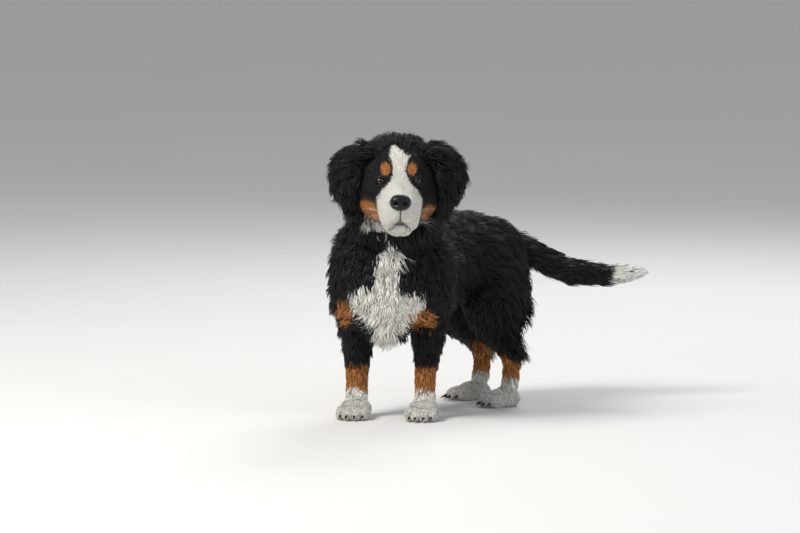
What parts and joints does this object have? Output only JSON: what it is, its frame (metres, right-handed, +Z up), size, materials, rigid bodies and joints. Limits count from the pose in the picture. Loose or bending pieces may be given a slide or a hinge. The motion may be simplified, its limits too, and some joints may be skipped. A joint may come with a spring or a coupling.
{
  "type": "bernese mountain dog puppy",
  "caption": "Standing puppy of a large long-coated mountain dog, black with white and rust markings, head and tail turned to its left, a still life-size model.",
  "frame": {"origin": "middle of the underside of the box round the whole animal, on the floor that its paws stand on", "axes": "+Z up, -Y forward along the chord of the bent back, +X to the dog's left"},
  "size_m": [0.3388, 0.676, 0.5008],
  "materials": {
    "coat_black": "black coat with white and rust markings, soft sheen",
    "coat_white": "creamy white coat",
    "coat_rust": "rust-brown coat",
    "eye": "dark brown, wet gloss",
    "nose": "black, moist",
    "claw": "dark horn"
  },
  "bodies": {
    "root": {"claw_fore_left_1": "claw", "claw_fore_left_2": "claw", "claw_fore_left_3": "claw", "claw_fore_left_4": "claw", "claw_fore_right_1": "claw", "claw_fore_right_2": "claw", "claw_fore_right_3": "claw", "claw_fore_right_4": "claw", "claw_hind_left_1": "claw", "claw_hind_left_2": "claw", "claw_hind_left_3": "claw", "claw_hind_left_4": "claw", "claw_hind_right_1": "claw", "claw_hind_right_2": "claw", "claw_hind_right_3": "claw", "claw_hind_right_4": "claw", "ear_left": "coat_black", "ear_right": "coat_black", "eye_left": "eye", "eye_right": "eye", "foreleg_left": "coat_black", "foreleg_right": "coat_black", "forepaw_left": "coat_white", "forepaw_right": "coat_white", "head": "coat_black", "hindleg_left": "coat_black", "hindleg_right": "coat_black", "hindpaw_left": "coat_white", "hindpaw_right": "coat_white", "hock_left": "coat_rust", "hock_right": "coat_rust", "lower_jaw": "coat_black", "neck": "coat_black", "nose": "nose", "tail": "coat_black", "tail_tip": "coat_white", "torso": "coat_black"}
  },
  "joints": []
}
